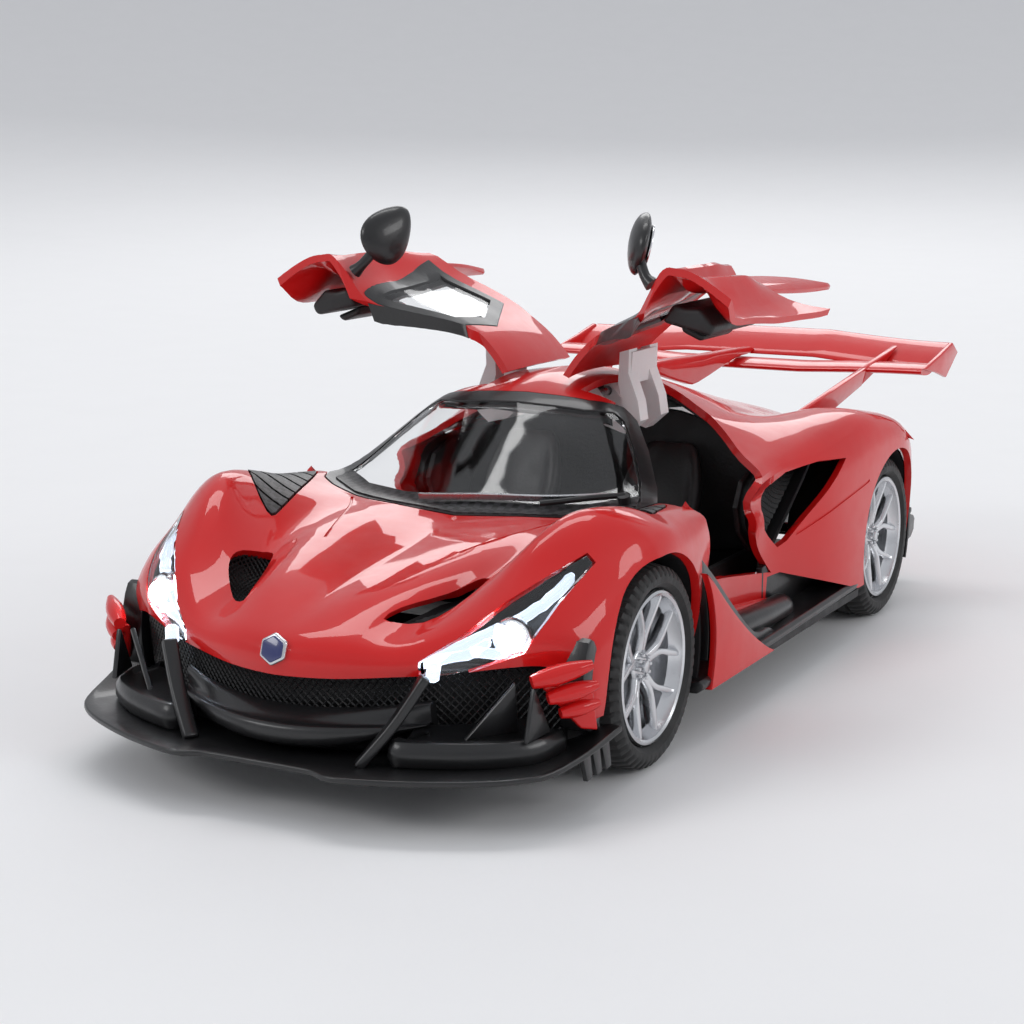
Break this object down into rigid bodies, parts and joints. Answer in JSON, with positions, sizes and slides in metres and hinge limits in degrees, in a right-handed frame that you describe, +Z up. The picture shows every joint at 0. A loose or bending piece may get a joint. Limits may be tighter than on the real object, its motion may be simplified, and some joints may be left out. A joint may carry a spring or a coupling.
{
  "type": "diecast collector car",
  "caption": "Low mid-engined track car model with doors that swing up from the roof, free-rolling wheels, a deep front splitter and a raised rear wing.",
  "frame": {"origin": "centre of the bounding box in plan, on the surface that the tyres stand on", "axes": "+X to the car's left, -Y to its nose, +Z up"},
  "size_m": [0.0934, 0.207, 0.084],
  "materials": {
    "red_paint": "high-gloss red lacquer on die-cast zinc",
    "red_plastic": "gloss red lacquer on moulded plastic",
    "black_plastic": "semi-gloss black moulding",
    "black_mesh": "matt black moulded mesh",
    "floor_black": "matt black moulding",
    "interior_black": "satin black with moulded stitching",
    "clear_plastic": "clear polished plastic",
    "lamp_white": "white light-emitting lamp",
    "red_lens": "clear red lens",
    "hinge_white": "milky white moulding",
    "badge_enamel": "blue enamel",
    "silver_rim": "bright vacuum-plated silver",
    "steel": "plain drawn steel",
    "tyre_rubber": "matt black soft rubber"
  },
  "bodies": {
    "car": {"body_shell": "red_paint", "left_side_blade": "red_plastic", "right_side_blade": "red_plastic", "left_sill": "red_paint", "right_sill": "red_paint", "rear_wing": "red_plastic", "centre_fin": "red_plastic", "left_wing_strut": "red_plastic", "right_wing_strut": "red_plastic", "splitter": "black_plastic", "front_bumper": "black_plastic", "grille": "black_mesh", "nose_badge": "badge_enamel", "left_headlight": "clear_plastic", "right_headlight": "clear_plastic", "left_lamp": "lamp_white", "right_lamp": "lamp_white", "windscreen_frame": "black_plastic", "windscreen": "clear_plastic", "wiper": "steel", "interior_tub": "interior_black", "left_seat": "interior_black", "right_seat": "interior_black", "dashboard": "interior_black", "steering_wheel": "interior_black", "left_hinge_pin": "steel", "right_hinge_pin": "steel", "left_louvre": "black_plastic", "right_louvre": "black_plastic", "left_side_intake": "black_mesh", "right_side_intake": "black_mesh", "chassis_plate": "floor_black", "battery_cover": "floor_black", "front_axle_cradle": "floor_black", "pullback_motor": "floor_black", "rear_panel": "black_plastic", "tail_light": "red_lens", "diffuser": "black_plastic", "exhaust_tips": "steel"},
    "left_door_leaf": {"left_door": "red_paint", "left_door_window": "clear_plastic", "left_door_card": "interior_black", "left_door_bracket": "hinge_white", "left_mirror": "black_plastic"},
    "right_door_leaf": {"right_door": "red_paint", "right_door_window": "clear_plastic", "right_door_card": "interior_black", "right_door_bracket": "hinge_white", "right_mirror": "black_plastic"},
    "front_wheels": {"front_axle": "steel", "left_front_rim": "silver_rim", "left_front_tyre": "tyre_rubber", "right_front_rim": "silver_rim", "right_front_tyre": "tyre_rubber"},
    "rear_wheels": {"rear_axle": "steel", "left_rear_rim": "silver_rim", "left_rear_tyre": "tyre_rubber", "right_rear_rim": "silver_rim", "right_rear_tyre": "tyre_rubber"}
  },
  "joints": [
    {"name": "left_door_hinge", "type": "hinge", "parent": "car", "child": "left_door_leaf", "pos_m": [0.006, 0, 0.0502], "axis": [0, 1, 0], "range_deg": [0, 68]},
    {"name": "right_door_hinge", "type": "hinge", "parent": "car", "child": "right_door_leaf", "pos_m": [-0.006, 0, 0.0502], "axis": [0, -1, 0], "range_deg": [0, 68]},
    {"name": "front_wheels_roll", "type": "hinge", "parent": "car", "child": "front_wheels", "pos_m": [0, -0.05295, 0.01614], "axis": [1, 0, 0], "continuous": true},
    {"name": "rear_wheels_roll", "type": "hinge", "parent": "car", "child": "rear_wheels", "pos_m": [0, 0.05955, 0.01614], "axis": [1, 0, 0], "continuous": true}
  ]
}
